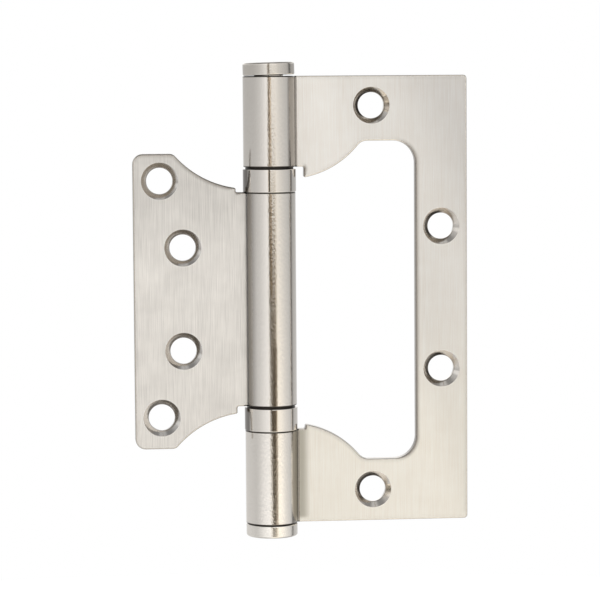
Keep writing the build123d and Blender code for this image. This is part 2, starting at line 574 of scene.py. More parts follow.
    def hole_wear(self, turn: np.ndarray, radii: np.ndarray) -> np.ndarray:
        """Gives a countersink's painted shade: from the middle of the cone inwards, round one heading.

        The shade rises with the cosine of the angle from that heading, to its full value at a given cosine,
        and across the cone between two shares of its width.

        Args:
            turn: the angle of each spoke.
            radii: the profile's radii, from the countersunk face through.

        Returns:
            The share of painted shade at each spoke and radius, with none on the faces of the sheet.
        """
        if self.dull_heading is None:
            return np.zeros((len(turn), len(radii)))
        side = (np.cos(turn - self.dull_heading) / self.shaded_cosine).clip(0, 1)
        width = self.sink_radius - self.hole_radius
        first, full = (self.sink_radius - share * width for share in self.shaded_shares)
        across = ((first - radii) / (first - full)).clip(0, 1)
        across[[0, -1]] = 0
        return side[:, None] * across

    @staticmethod
    def fill(flat: np.ndarray, rings: list[np.ndarray], upward: bool) -> Faces:
        """Fills an area of the flat sheet with Delaunay triangles.

        A triangle stays if a level line from its middle crosses the rings an odd number of times.

        Args:
            flat: all flat points.
            rings: the area's border and its holes, as point numbers.
            upward: True if the triangles face along t.

        Returns:
            The triangles, as point numbers.
        """
        numbers = np.concatenate(rings)
        shapes = [flat[ring, :2] / MM for ring in rings]
        first = np.cumsum([0] + [len(ring) for ring in rings]).tolist()
        edges = [
            (start + k, start + (k + 1) % len(ring))
            for start, ring in zip(first, rings)
            for k in range(len(ring))
        ]
        places = [Vector(point) for shape in shapes for point in shape]
        _, _, found, sources, _, _ = delaunay_2d_cdt(places, edges, [], 0, TOUCHING)
        triangles = numbers[np.array([[sources[corner][0] for corner in face] for face in found])]
        a, b, c = (flat[triangles[:, k], :2] / MM for k in range(3))
        middle = (a + b + c) / 3
        crossings = np.zeros(len(middle), dtype=int)
        for shape in shapes:
            x, y = shape.T
            next_x, next_y = np.roll(shape, -1, axis=0).T
            spans = (y > middle[:, 1:]) != (next_y > middle[:, 1:])
            rise = np.where(next_y == y, 1, next_y - y)
            at = x + (middle[:, 1:] - y) * (next_x - x) / rise
            crossings += (spans & (middle[:, :1] < at)).sum(axis=1)
        area = (b - a)[:, 0] * (c - a)[:, 1] - (b - a)[:, 1] * (c - a)[:, 0]
        flip = (area > 0) != upward
        triangles[flip] = triangles[flip][:, ::-1]
        return as_faces(triangles[crossings % 2 == 1])

    @staticmethod
    def carried(
        base: np.ndarray, ways: np.ndarray, across: np.ndarray, profile: np.ndarray
    ) -> tuple[np.ndarray, np.ndarray]:
        """Carries a profile along a path of the flat sheet.

        Each point is its base plus its way times the distance across, at the profile's level t. Its normal
        is the way times the profile's sideways normal, with the profile's normal along t.

        Args:
            base: the path's points.
            ways: the level direction in which the profile lies at each.
            across: the distance of each profile row, for all points of the path or for each.
            profile: rows with t, the sideways normal and the normal along t after their first number.

        Returns:
            The flat points and their normals.
        """
        points = np.zeros((len(ways), len(profile), 3))
        normals = np.zeros_like(points)
        points[:, :, :2] = base[:, None] + ways[:, None] * across[:, :, None]
        points[:, :, 2] = profile[:, 1]
        normals[:, :, :2] = ways[:, None] * profile[None, :, 2:3]
        normals[:, :, 2] = profile[:, 3]
        return points.reshape(-1, 3), normals.reshape(-1, 3)

    def surface(self) -> Surface:
        """Builds the closed surface of the leaf.

        The edge profile is carried round the outline and the hole profile round each hole, on the flat
        sheet. The faces between them are filled, in narrow strips where the sheet is rolled.

        Returns:
            The surface, rolled into place.
        """
        border, out = self.outline.closed()
        profile = self.edge_profile()
        profile = np.concatenate([profile[:1], profile, profile[-1:]])
        count, across = len(border), len(profile)
        inset = np.tile(profile[:, 0], (count, 1))
        inset[:, [0, -1]] += self.shaded_widths(border, np.concatenate(self.outline.radii))[:, None]
        # Painted shade along the edge, by which way it faces; none on the band's inner rows.
        wear = np.tile(self.wear.shares(out)[:, None], (1, across))
        wear[:, [0, -1]] = 0
        swept, wears = [self.carried(border, out, -inset, profile)], [wear.ravel()]
        faces = as_faces(grid_quads(count, across, across - 1))
        plate_x = self.bend_centre[0] - 1e-9
        on_plate = border[:, :1] >= plate_x
        kinds = np.where(on_plate, SheetFinish.EDGE.value, SheetFinish.KNUCKLE_END.value)
        kinds = kinds.repeat(across - 1, axis=1)
        kinds[:, [0, -1]] = np.where(on_plate, SheetFinish.FACE.value, SheetFinish.KNUCKLE.value)
        slots = kinds.ravel().tolist()

        rings = {True: [], False: []}
        hole = self.hole_profile()
        turn = np.linspace(0, -FULL_TURN, self.hole_steps, endpoint=False)
        spokes = np.stack([np.cos(turn), np.sin(turn)], axis=1)
        for centre in self.holes:
            first = sum(len(points) for points, _ in swept)
            swept.append(self.carried(np.array([centre]), spokes, hole[None, :, 0], hole))
            # Painted shade on one side of each countersink.
            wears.append(self.hole_wear(turn, hole[:, 0]).ravel())
            quads = first + grid_quads(self.hole_steps, len(hole), len(hole) - 1)
            faces += as_faces(quads)
            slots += [SheetFinish.COUNTERSINK.value] * len(quads)
            ring = first + np.arange(self.hole_steps) * len(hole)
            rings[True].append(ring)
            rings[False].append(ring + len(hole) - 1)

        flat, lean = (np.concatenate(parts) for parts in zip(*swept))
        edge = np.arange(count) * across
        for upward, row in ((True, edge), (False, edge + across - 1)):
            plate = self.fill(flat, [row[border[:, 0] >= plate_x], *rings[upward]], upward)
            faces += plate
            slots += [SheetFinish.FACE.value] * len(plate)
            brushed = plate_x - (0 if upward else self.brushed_past)
            kinds = [SheetFinish.KNUCKLE.value, SheetFinish.FACE.value]
            for tab in self.tabs:
                found = self.tab_faces(flat, border, row, tab, upward)
                faces += found
                slots += [kinds[int(flat[list(face), 0].mean() > brushed)] for face in found]

        points, along_u, along_t = self.rolled(flat)
        normals = lean[:, :1] * along_u + lean[:, 1:2] * np.array([0, 0, 1]) + lean[:, 2:] * along_t
        return Surface(points, normals, faces, slots, np.concatenate(wears))

    def tab_faces(
        self, flat: np.ndarray, border: np.ndarray, row: np.ndarray, tab: Span, upward: bool
    ) -> Faces:
        """Fills one knuckle's face of the sheet: a strip between each two stations, and its rounded end.

        Args:
            flat: all flat points.
            border: the outline's points, to find the tab by.
            row: the number of the face's own point at each border point.
            tab: the tab's lower and upper level.
            upward: True for the face that ends up outside the roll.

        Returns:
            The faces, as point numbers.
        """
        near = 1e-7
        on_tab = border[:, 0] <= self.bend_centre[0] + near
        straight = on_tab & (border[:, 0] >= self.seam_x + 2 * self.edge_round - near)
        bottom, top = (row[straight & (abs(border[:, 1] - level) < near)] for level in tab)
        top = top[::-1]
        quads = np.stack([bottom[:-1], bottom[1:], top[1:], top[:-1]], axis=1)
        middle, half = (tab[0] + tab[1]) / 2, (tab[1] - tab[0]) / 2
        numbers = np.flatnonzero(on_tab & ~straight & (abs(border[:, 1] - middle) <= half + near))
        split = np.flatnonzero(np.diff(numbers) > 1)
        if len(split):
            numbers = np.roll(numbers, -(split[0] + 1))
        ring = np.concatenate([[top[0]], row[numbers], [bottom[0]]])
        return as_faces(quads if upward else quads[:, ::-1]) + self.fill(flat, [ring], upward)


def revolved(profile: Outline, steps: int = 180, solid: bool = False) -> Surface:
    """Turns an outline of radius and height round the pin.

    The point at angle a is (radius cos a, radius sin a, height), and its normal turns with it. A solid
    piece has an open outline from foot to crown, whose two ends each close on one point of the axis.

    Args:
        profile: the section, walked with the metal on the left, clear of the axis.
        steps: points round the axis.
        solid: True for a solid piece.

    Returns:
        The closed surface.
    """
    angle = np.linspace(0, FULL_TURN, steps, endpoint=False)[:, None]
    section, out = profile.closed()
    points, normals = (
        np.stack([row[:, 0] * np.cos(angle), row[:, 0] * np.sin(angle), row[:, 1] + 0 * angle], axis=-1)
        .reshape(-1, 3)
        for row in (section, out)
    )
    count = len(section)
    faces = as_faces(grid_quads(steps, count, count - solid)[:, [0, 3, 2, 1]])
    if solid:
        foot = np.arange(steps) * count
        after, base = np.roll(foot, -1), np.full(steps, steps * count)
        fans = [[base, after, foot], [base + 1, foot + count - 1, after + count - 1]]
        faces += as_faces(np.array(fans).transpose(2, 0, 1).reshape(-1, 3))
        points = np.concatenate([points, [[0, 0, section[0, 1]], [0, 0, section[-1, 1]]]])
        normals = np.concatenate([normals, [[0, 0, -1], [0, 0, 1]]])
    return Surface(points, normals, faces, [0] * len(faces))


@dataclass(frozen=True)
class Patch:
    """An area of painted shade on a finish, in millimetres of its object's own x and z.

    Along each axis the share rises from the first to the second number and falls from the third to the
    fourth. The shares multiply, and end at the middle of the thickness, so that the back is left unpainted.
    With a speckle size the patch breaks up into specks of about that size. Along the knuckles' crest the
    patches are painted reflections.
    """

    colour: str
    x: tuple[float, float, float, float]
    z: tuple[float, float, float, float]
    strength: float = 1.0
    speckle: float = 0.0
    speck_edge: Span = (1.3, 1.5)
    front_half: tuple[float, float, float, float] = (-10, -9, 0, 1)

    def laid(self, tree: Tree, place: Signal, colour: Signal) -> Signal:
        """Lays the patch over a colour.

        Args:
            tree: the material's node tree.
            place: Object coordinates.
            colour: the colour so far.

        Returns:
            The colour with the patch.
        """
        axes = add_node(tree, "ShaderNodeSeparateXYZ", {0: place}).outputs
        steps = []
        for axis, (rise, full, fade, end) in (("X", self.x), ("Y", self.front_half), ("Z", self.z)):
            steps += [(axes[axis], rise * MM, full * MM), (axes[axis], end * MM, fade * MM)]
        share = mask(tree, *steps)
        if self.speckle:
            specks = add_node(
                tree, "ShaderNodeTexNoise", {"Vector": place, "Scale": 1 / (self.speckle * MM), "Detail": 2.0}
            )
            broken = add_node(tree, "ShaderNodeMath", {0: share, 1: specks}, operation="ADD")
            first, full = self.speck_edge
            limits = {"Value": broken, "From Min": first, "From Max": full}
            share = add_node(tree, "ShaderNodeMapRange", limits)
        share = add_node(tree, "ShaderNodeMath", {0: share, 1: self.strength}, operation="MULTIPLY")
        shades = {0: share, 6: colour, 7: linear(self.colour)}
        return add_node(tree, "ShaderNodeMix", shades, data_type="RGBA")


@dataclass(frozen=True)
class Tint:
    """A slow change of painted light and shade over a face: the colour that the finish is multiplied by in
    the end.

    Its share rises with x times the first slope plus z times the second, between two such sums in
    millimetres.
    """

    colour: str
    slopes: Span
    start: float
    end: float

    def laid(self, tree: Tree, place: Signal, colour: Signal) -> Signal:
        """Multiplies a colour by the tint, by its share.

        Args:
            tree: the material's node tree.
            place: Object coordinates.
            colour: the colour so far.

        Returns:
            The tinted colour.
        """
        slopes = (self.slopes[0], 0.0, self.slopes[1])
        along = add_node(tree, "ShaderNodeVectorMath", {0: place, 1: slopes}, operation="DOT_PRODUCT")
        share = mask(tree, (along, self.start * MM, self.end * MM))
        shades = {0: share, 6: colour, 7: linear(self.colour)}
        return add_node(tree, "ShaderNodeMix", shades, data_type="RGBA", blend_type="MULTIPLY")


@dataclass(frozen=True)
class PaintedShadeBand:
    """The painted shade that edges and countersinks darken to, and another one that takes over between two
    values of x.
    """

    shade: str
    near_shade: str = ""
    near: Span = (0.0, 0.0)

    def laid(self, tree: Tree, place: Signal, colour: Signal) -> Signal:
        """Darkens a colour with painted shade, by the square of the share that the mesh carries.

        Args:
            tree: the material's node tree.
            place: Object coordinates.
            colour: the colour so far.

        Returns:
            The darkened colour.
        """
        wear = add_node(tree, "ShaderNodeAttribute", attribute_name="edge_wear").outputs["Fac"]
        share = add_node(tree, "ShaderNodeMath", {0: wear, 1: 2.0}, operation="POWER")
        shade = linear(self.shade)
        if self.near_shade:
            x = add_node(tree, "ShaderNodeSeparateXYZ", {0: place}).outputs["X"]
            far, near = (value * MM for value in self.near)
            nearness = add_node(tree, "ShaderNodeMapRange", {"Value": x, "From Min": far, "From Max": near})
            shades = {0: nearness, 6: shade, 7: linear(self.near_shade)}
            shade = add_node(tree, "ShaderNodeMix", shades, data_type="RGBA")
        return add_node(tree, "ShaderNodeMix", {0: share, 6: colour, 7: shade}, data_type="RGBA")


@dataclass(frozen=True)
class MetalFinish:
    """A metal surface: its colour, its gloss and the fine lines or specks that the tool left.

    Line width, line length and cloud size are in millimetres, the depth of the lines in thousandths.
    """

    name: str
    colour: str
    shade: str
    roughness: float
    anisotropy: float = 0.0
    grain: Grain = Grain.ALONG_PIN
    line_width: float = 0.2
    line_length: float = 12.0
    contrast: float = 0.5
    depth_um: float = 1.0
    cloud: float = 6.0
    cloud_share: float = 0.3
    roughness_swing: float = 0.04
    # Painted light and shade, and painted reflections, laid over the colour in order.
    marks: tuple[Patch | Tint | PaintedShadeBand, ...] = ()

    def build(self) -> bpy.types.Material:
        """Builds the material: lines and clouds mix the two colours, swing the roughness and lift the bump.

        Returns:
            The material.
        """
        material = bpy.data.materials.new(self.name)
        tree = emptied(material)
        place = add_node(tree, "ShaderNodeTexCoord").outputs["Object"]
        across, along = 1 / (self.line_width * MM), 1 / (self.line_length * MM)
        scale = {
            Grain.ALONG_PIN: (across, across, along),
            Grain.ROUND_PIN: (along, along, across),
            Grain.ALL_WAYS: (across, across, across),
        }[self.grain]
        stretched = add_node(tree, "ShaderNodeMapping", {"Vector": place, "Scale": scale})
        grain = {"Vector": stretched, "Scale": 1.0, "Detail": 3.0, "Roughness": 0.6}
        lines = add_node(tree, "ShaderNodeTexNoise", grain)
        clouds = add_node(
            tree, "ShaderNodeTexNoise", {"Vector": place, "Scale": 1 / (self.cloud * MM), "Detail": 2.0}
        )
        both = add_node(tree, "ShaderNodeMix", {0: self.cloud_share, 2: lines, 3: clouds}, data_type="FLOAT")
        low, high = 0.5 - 0.5 * self.contrast, 0.5 + 0.5 * self.contrast
        spread = add_node(tree, "ShaderNodeMapRange", {"Value": both, "From Min": low, "From Max": high})
        shades = {0: spread, 6: linear(self.shade), 7: linear(self.colour)}
        colour = add_node(tree, "ShaderNodeMix", shades, data_type="RGBA")
        for mark in self.marks:
            colour = mark.laid(tree, place, colour)
        dull, glossy = self.roughness + self.roughness_swing, self.roughness - self.roughness_swing
        gloss = add_node(
            tree,
            "ShaderNodeMapRange",
            {"Value": both, "From Min": 0.3, "From Max": 0.7, "To Min": dull, "To Max": glossy},
        )
        relief = add_node(
            tree, "ShaderNodeBump", {"Height": lines, "Distance": self.depth_um * 1e-6, "Strength": 1.0}
        )
        surface = {
            "Base Color": colour, "Metallic": 1.0, "Roughness": gloss, "Anisotropic": self.anisotropy,
            "Normal": relief,
        }
        shader = add_node(tree, "ShaderNodeBsdfPrincipled", surface)
        add_node(tree, "ShaderNodeOutputMaterial", {"Surface": shader})
        return material


@dataclass(frozen=True)
class MouldedNylon:
    """Natural nylon as moulded: a milky, waxy white with a faint pebble."""

    name: str = "moulded_nylon"
    colour: str = "#E9E4D6"
    shade: str = "#DDD6C4"
    pebble: float = 0.15

    def build(self) -> bpy.types.Material:
        """Builds the material with a fine pebble in colour and bump.

        Returns:
            The material.
        """
        material = bpy.data.materials.new(self.name)
        tree = emptied(material)
        place = add_node(tree, "ShaderNodeTexCoord").outputs["Object"]
        size = {"Vector": place, "Scale": 1 / (self.pebble * MM), "Detail": 2.0}
        pebble = add_node(tree, "ShaderNodeTexNoise", size)
        shades = {0: pebble, 6: linear(self.shade), 7: linear(self.colour)}
        colour = add_node(tree, "ShaderNodeMix", shades, data_type="RGBA")
        relief = add_node(tree, "ShaderNodeBump", {"Height": pebble, "Distance": 2e-6, "Strength": 1.0})
        surface = {"Base Color": colour, "Roughness": 0.42, "IOR": 1.53, "Normal": relief}
        shader = add_node(tree, "ShaderNodeBsdfPrincipled", surface)
        add_node(tree, "ShaderNodeOutputMaterial", {"Surface": shader})
        return material


# Satin nickel plate on a belt-brushed sheet: a soft warm grey with fine lines along the pin. Painted shade
# makes it a little darker towards the top and along the edges, most of all on the sweeps beside the knuckle.
SMALL_LEAF_FACE = MetalFinish(
    "satin_nickel_brushed", "#FFFCF8", "#DAD7D3", 0.44, anisotropy=0.74, line_width=0.11, line_length=8,
    contrast=0.38, depth_um=1.0, cloud=5, cloud_share=0.25,
    # Painted shade: darker towards the top, and along the edges, most on the sweeps beside the knuckle.
    marks=(Tint("#EDEDED", (0, 1), 4, 28), PaintedShadeBand("#BDB8B1", "#8E8881", (-22.5, -20.5))),
)
# The same on the large leaf, which painted light makes warm and bright at the bottom and painted shade greyer
# towards its outer top corner and darker along its edges. Painted shade also darkens the inner corner beside
# the bottom knuckle.
LARGE_LEAF_FACE = replace(
    SMALL_LEAF_FACE, name="satin_nickel_brushed_large", colour="#FFFDF6", shade="#F5EFE5", contrast=0.34,
    marks=(
        # Painted light and shade: brighter and warmer low down, greyer towards the outer top corner.
        Tint("#F8F9FD", (0, 1), -34, 4),
        Tint("#F5F5F5", (1, 0.3), 24, 34),
        Tint("#EAEAEB", (1, 0.45), 44, 62),
        # Painted shade along the edges, then in the inner corner beside the bottom knuckle.
        PaintedShadeBand("#A8A29A"),
        Patch("#A6A294", (5.8, 6.0, 6.8, 9.0), (-49.6, -48.4, -28, -27), 0.7),
    ),
)
# The plate over the rolled knuckles, drawn smooth: clear bands of light with ragged upright edges, painted
# shade on the flanks beside the seam and on the right, and broken, speckled painted reflections beside the
# crest, golden above and dark below.
ROLLED_KNUCKLE = MetalFinish(
    "satin_nickel_rolled", "#E9E4DD", "#DFD9D2", 0.1, line_width=0.34, line_length=0.7,
    contrast=0.8, depth_um=23, cloud=3, roughness_swing=0.03,
    marks=(
        # Painted shade on the left flank of the middle knuckle, then on the right flanks of the top and
        # bottom knuckles.
        Patch("#95908A", (-9, -8, -5.1, -3.2), (-24.5, -24.4, 24.4, 24.5)),
        Patch("#8A847E", (3.5, 4.3, 9, 10), (28, 29, 50.5, 51), 0.7),
        Patch("#88837B", (4.0, 4.7, 9, 10), (-50.5, -49, -28.8, -28.7), 0.9),
        # Painted reflections along the crest: broken golden above, speckled dark below.
        Patch("#B3925F", (-1.1, -0.5, -0.1, 0.5), (-8, 4, 51, 52), 0.5, speckle=0.25),
        Patch("#7E7262", (-0.6, 0.3, 0.8, 1.6), (-52, -51, -12, 0), 0.6, speckle=0.25),
    ),
)
# Countersinks cut by a tool before plating: smooth cones that mirror each other and the lens.
CUT_COUNTERSINK = MetalFinish(
    "nickel_on_cut_cone", "#E1DEDA", "#C8C4BF", 0.1, grain=Grain.ALL_WAYS, line_width=0.15, line_length=3,
    contrast=0.8, depth_um=1.0, cloud=2,
)
# The same on the large leaf, brighter as painted light, with painted shade on the upper left of each cone.
SHADED_COUNTERSINK = replace(
    CUT_COUNTERSINK, name="nickel_cone_painted_shade", colour="#EFEBE5", shade="#D6D0C8",
    marks=(PaintedShadeBand("#645E58"),),
)
# The blanked edge of the small leaf under its plate: a little darker and smoother than its face, with painted
# shade along it, darkest on the sweeps beside the knuckle.
SMALL_LEAF_EDGE = MetalFinish(
    "nickel_on_blanked_edge", "#D6D1C9", "#BFB9B1", 0.25, grain=Grain.ALL_WAYS, line_width=0.3, line_length=3,
    contrast=0.8, depth_um=0.3, cloud=3, marks=(PaintedShadeBand("#A39D95", "#77716A", (-22.5, -20.5)),),
)
# The large leaf's edge: lighter, with painted shade, most on the upright runs and those that face the pin.
LARGE_LEAF_EDGE = replace(
    SMALL_LEAF_EDGE, name="nickel_on_blanked_edge_large", colour="#F6F1E9", shade="#E2DCD3",
    marks=(PaintedShadeBand("#9C968F"),),
)
# The ends of the knuckles, cut before rolling, darkened as painted shade: dark rings in the joints of the
# knuckle line.
KNUCKLE_END = replace(
    SMALL_LEAF_EDGE, name="nickel_on_knuckle_end", colour="#6B6660", shade="#4E4A45", marks=()
)
# Tumbled button tips: satin nickel with soft specks all ways, the top one a shade darker as painted shade.
TUMBLED_TIP = MetalFinish(
    "satin_nickel_tumbled", "#F3EFE8", "#E1DBD3", 0.15, grain=Grain.ALL_WAYS, line_width=0.35, line_length=2,
    contrast=0.7, depth_um=9, cloud=1.5, marks=(Tint("#EBEAE9", (0, 1), -20, 20),),
)
# Bearing rings, turned and buffed before plating: the brightest and sharpest reflections of the hinge, with
# painted shade on their left flanks.
BUFFED_RING = MetalFinish(
    "bright_nickel_ring", "#E8E3DC", "#DFD9D2", 0.09, grain=Grain.ALL_WAYS, line_width=0.4, line_length=4,
    contrast=0.8, depth_um=5, cloud=2, roughness_swing=0.02,
    marks=(Patch("#6F6A66", (-9, -8, -5.3, -4.6), (-40, -39, 39, 40), 0.9),),
)
# Cold drawn steel of the pin: plain grey with fine draw lines.
DRAWN_STEEL = MetalFinish(
    "drawn_steel_pin", "#BDBBB9", "#A5A3A1", 0.3, anisotropy=0.3, line_width=0.1, line_length=20,
    contrast=0.8, depth_um=0.6,
)
# Oiled, hardened bearing steel, darkened to nearly black as painted shade in the slits of the bearings.
RACE_IN_PAINTED_SHADE = MetalFinish(
    "oiled_race_painted_shade", "#3A3632", "#1F1C1A", 0.3, grain=Grain.ROUND_PIN, line_width=0.08, line_length=3,
    contrast=0.8, depth_um=0.4, cloud=1.5,
)
# Ground and polished balls: mirrors with the faintest haze.
POLISHED_BALL = MetalFinish(
    "polished_ball_steel", "#D9D9DC", "#CFCFD3", 0.06, grain=Grain.ALL_WAYS, line_width=0.05, line_length=1,
    contrast=0.9, depth_um=0.05, cloud=0.6, roughness_swing=0.01,
)


@dataclass
class Leaves:
    """The two leaves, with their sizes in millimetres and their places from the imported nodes."""

    sheet: float = 2.5
    bend_radius: float = 0.5
    seam_gap: float = 0.25
    edge_round: float = 0.3
    tip_round: float = 0.35
    step_round: float = 0.4
    root_x: float = 7.7
    frame_front: float = -0.5
    frame_corner: float = 0.8
    knuckle_radius: float = 5.8
    top_knuckle: float = 20.2
    bottom_knuckle: float = 21.05
    bearing_gap: float = 5.5
    sash_height: float = 65.7
    sash_corner: float = 2.3
    sash_rise: float = 0.1
    foot_step: float = 1.3
    shoulder_x: float = 21.5
    shoulder_round: float = 1.7
    sweep: float = 22.0
    window_drop: float = 0.4
    window_side_gap: float = 2.2
    window_end_gap: float = 2.9
    window_foot_gap: float = 2.5
    window_shoulder_gap: float = 0.9
    window_sweep_gap: float = 1.5
    window_corner: float = 5.0
    hole_radius: float = 2.9
    sink_radius: float = 4.1
    frame_hole_rise: float = 0.2
    frame_arm_hole_x: float = 22.9
    frame_arm_hole_outset: float = 0.275
    frame_side_pitch: float = 32.1
    sash_hole_rise: float = 0.5
    sash_end_margin: float = 6.5
    sash_edge_margin: float = 5.95
    sash_inner_margin: float = 10.95
    sash_inner_pitch: float = 23.0
    roll_step_deg: float = 4.0
    bend_deg: float = 81.0
    bend_stations: int = 13
    # Heading of the painted shade in the large leaf's countersinks, towards the upper left.
    dull_heading_deg: float = 160.0
    # How much painted shade each leaf's edges take, by which way they face.
    large_wear: EdgeShade = EdgeShade(level=0.4, upright=0.8, towards=(-0.3, 0.1))
    small_wear: EdgeShade = EdgeShade(level=0.5, upright=0.42, towards=(0.0, 0.45))
    long_arc: float = 10.0
    long_arc_step: float = 0.05
    arc_step: float = 0.12
    straight_step: float = 1.0

    def __post_init__(self) -> None:
        """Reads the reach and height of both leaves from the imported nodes, in millimetres."""
        frame_low, frame_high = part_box("frame_leaf")
        sash_low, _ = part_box("sash_leaf")
        self.frame_top = frame_high.z / MM
        self.frame_reach = frame_high.x / MM
        self.sash_reach = -sash_low.x / MM
        self.middle_top = self.frame_top - self.top_knuckle - self.bearing_gap
        self.middle_bottom = -self.frame_top + self.bottom_knuckle + self.bearing_gap
        self.foot = (self.middle_top - self.middle_bottom) / 2 + self.foot_step
        self.bend_middle = self.bend_radius + self.sheet / 2
        self.roll_middle = self.knuckle_radius - self.sheet / 2
        LOG.info("large leaf %.2f mm high, open reach %.2f mm", 2 * self.frame_top, self.frame_reach)

    @property
    def bend_x(self) -> float:
        """Where the plate begins to bend, in millimetres from the pin."""
        y = self.frame_front - self.bend_radius
        return math.sqrt((self.knuckle_radius + self.bend_radius) ** 2 - y**2)

    @property
    def seam_x(self) -> float:
        """Where the flat sheet begins, at the seam of the roll: the plate's bend less the rolled length."""
        slope = math.atan2(self.frame_front - self.bend_radius, self.bend_x)
        seam = math.asin((self.frame_front + self.sheet + self.seam_gap) / self.knuckle_radius)
        bend = self.bend_middle * (math.pi / 2 + slope)
        roll = self.roll_middle * (2 * math.pi - (seam - slope))
        return self.bend_x - bend - roll

    def stations(self) -> np.ndarray:
        """Gives the places between seam and plate where a rolled stretch has points.

        Returns:
            The places in millimetres, from the seam outwards.
        """
        bend = self.bend_x - self.bend_middle * math.radians(self.bend_deg)
        first = self.seam_x + 2 * self.edge_round
        roll_steps = int((bend - first) / (self.roll_middle * math.radians(self.roll_step_deg)))
        roll = np.linspace(first, bend, roll_steps)
        return np.concatenate([roll[:-1], np.linspace(bend, self.bend_x, self.bend_stations)])

    def tab(self, outline: Outline, low: float, high: float) -> None:
        """Adds the edge of one knuckle's flat tab, from its upper end round the seam to its lower end.

        Args:
            outline: the leaf's outline.
            low: lower end of the knuckle in millimetres.
            high: upper end.
        """
        outline.run(self.stations()[::-1], high, WEST)
        outline.corner((self.seam_x, high), WEST, SOUTH, self.tip_round)
        outline.corner((self.seam_x, low), SOUTH, FULL_TURN, self.tip_round)
        outline.run(self.stations(), low, FULL_TURN)

    def walk(self, outline: Outline, arcs: list[Arc]) -> None:
        """Adds a wing's arcs to an outline, with the points closer by angle on the long ones.

        Args:
            outline: the leaf's outline.
            arcs: centre, signed radius, first and last heading of each arc.
        """
        for arc in arcs:
            outline.bend(*arc, step=self.long_arc_step if abs(arc[1]) > self.long_arc else self.arc_step)

    def small(self) -> RolledSheet:
        """Draws the small leaf: one wing and one long knuckle, with holes sunk from the face towards -Y.

        Returns:
            The sheet, ready to build.
        """
        half, knuckle = self.sash_height / 2, (self.middle_bottom, self.middle_top)
        wing = Wing(
            self.root_x, self.foot, self.shoulder_x, half, self.sash_reach, self.sweep, self.shoulder_round,
            self.sash_corner, self.sash_rise,
        )
        arrive = wing.foot_heading()
        outline = Outline()
        self.walk(outline, wing.arcs(self.tip_round * math.tan((SOUTH - arrive) / 2)))
        outline.corner((self.root_x, self.foot + self.sash_rise), arrive, SOUTH, self.tip_round)
        outline.corner((self.root_x, self.middle_top), SOUTH, WEST, self.step_round)
        self.tab(outline, *knuckle)
        outline.corner((self.root_x, self.middle_bottom), EAST, -NORTH, self.step_round)
        outline.corner((self.root_x, self.sash_rise - self.foot), -NORTH, WEST - arrive, self.tip_round)
        rise = self.sash_rise + self.sash_hole_rise
        holes = []
        for margin, away in (
            (self.sash_edge_margin, half - self.sash_end_margin),
            (self.sash_inner_margin, self.sash_inner_pitch / 2),
            (self.sash_inner_margin, -self.sash_inner_pitch / 2),
            (self.sash_edge_margin, self.sash_end_margin - half),
        ):
            holes.append((self.sash_reach - margin, rise + away))
        return self.leaf(
            outline, [knuckle], holes, name="small_leaf_sheet", body="sash", node="sash_leaf",
            countersunk=Side.INSIDE, turned=True, wear=self.small_wear,
        )

    def large(self) -> RolledSheet:
        """Draws the large leaf: a frame round its window, with two knuckles and holes sunk from -Y.

        Returns:
            The sheet, ready to build.
        """
        window = Wing(
            self.root_x,
            self.foot + self.window_foot_gap,
            self.shoulder_x - self.window_shoulder_gap,
            self.sash_height / 2 + self.window_end_gap,
            self.sash_reach + self.window_side_gap,
            self.sweep - self.window_sweep_gap,
            self.shoulder_round + self.window_shoulder_gap,
            self.window_corner,
            self.sash_rise - self.window_drop,
        )
        arrive, top = window.foot_heading(), self.frame_top
        leave = arrive - WEST
        upper, lower = (top - self.top_knuckle, top), (-top, -top + self.bottom_knuckle)
        arcs = window.arcs(self.tip_round * math.tan((leave + NORTH) / 2))
        outline = Outline()
        outline.corner((self.frame_reach, -top), EAST, NORTH, self.frame_corner)
        outline.corner((self.frame_reach, top), NORTH, WEST, self.frame_corner)
        self.tab(outline, *upper)
        outline.corner((self.root_x, upper[0]), EAST, -NORTH, self.step_round)
        outline.corner((self.root_x, window.level + window.foot), -NORTH, leave, self.tip_round)
        back = [(at, -radius, end - WEST, start - WEST) for at, radius, start, end in reversed(arcs)]
        self.walk(outline, back)
        outline.corner((self.root_x, window.level - window.foot), -arrive, -NORTH, self.tip_round)
        outline.corner((self.root_x, lower[1]), -NORTH, -WEST, self.step_round)
        self.tab(outline, *lower)
        side_x = (window.reach + self.frame_reach) / 2
        arm_z = (window.half_height + top) / 2 + self.frame_arm_hole_outset
        holes = [
            (x, self.frame_hole_rise + away)
            for x, away in (
                (self.frame_arm_hole_x, arm_z),
                (side_x, self.frame_side_pitch / 2),
                (side_x, -self.frame_side_pitch / 2),
                (self.frame_arm_hole_x, -arm_z),
            )
        ]
        return self.leaf(
            outline, [upper, lower], holes, name="large_leaf_sheet", body="root", node="frame_leaf",
            countersunk=Side.OUTSIDE, turned=False, wear=self.large_wear,
            dull_heading=math.radians(self.dull_heading_deg),
        )

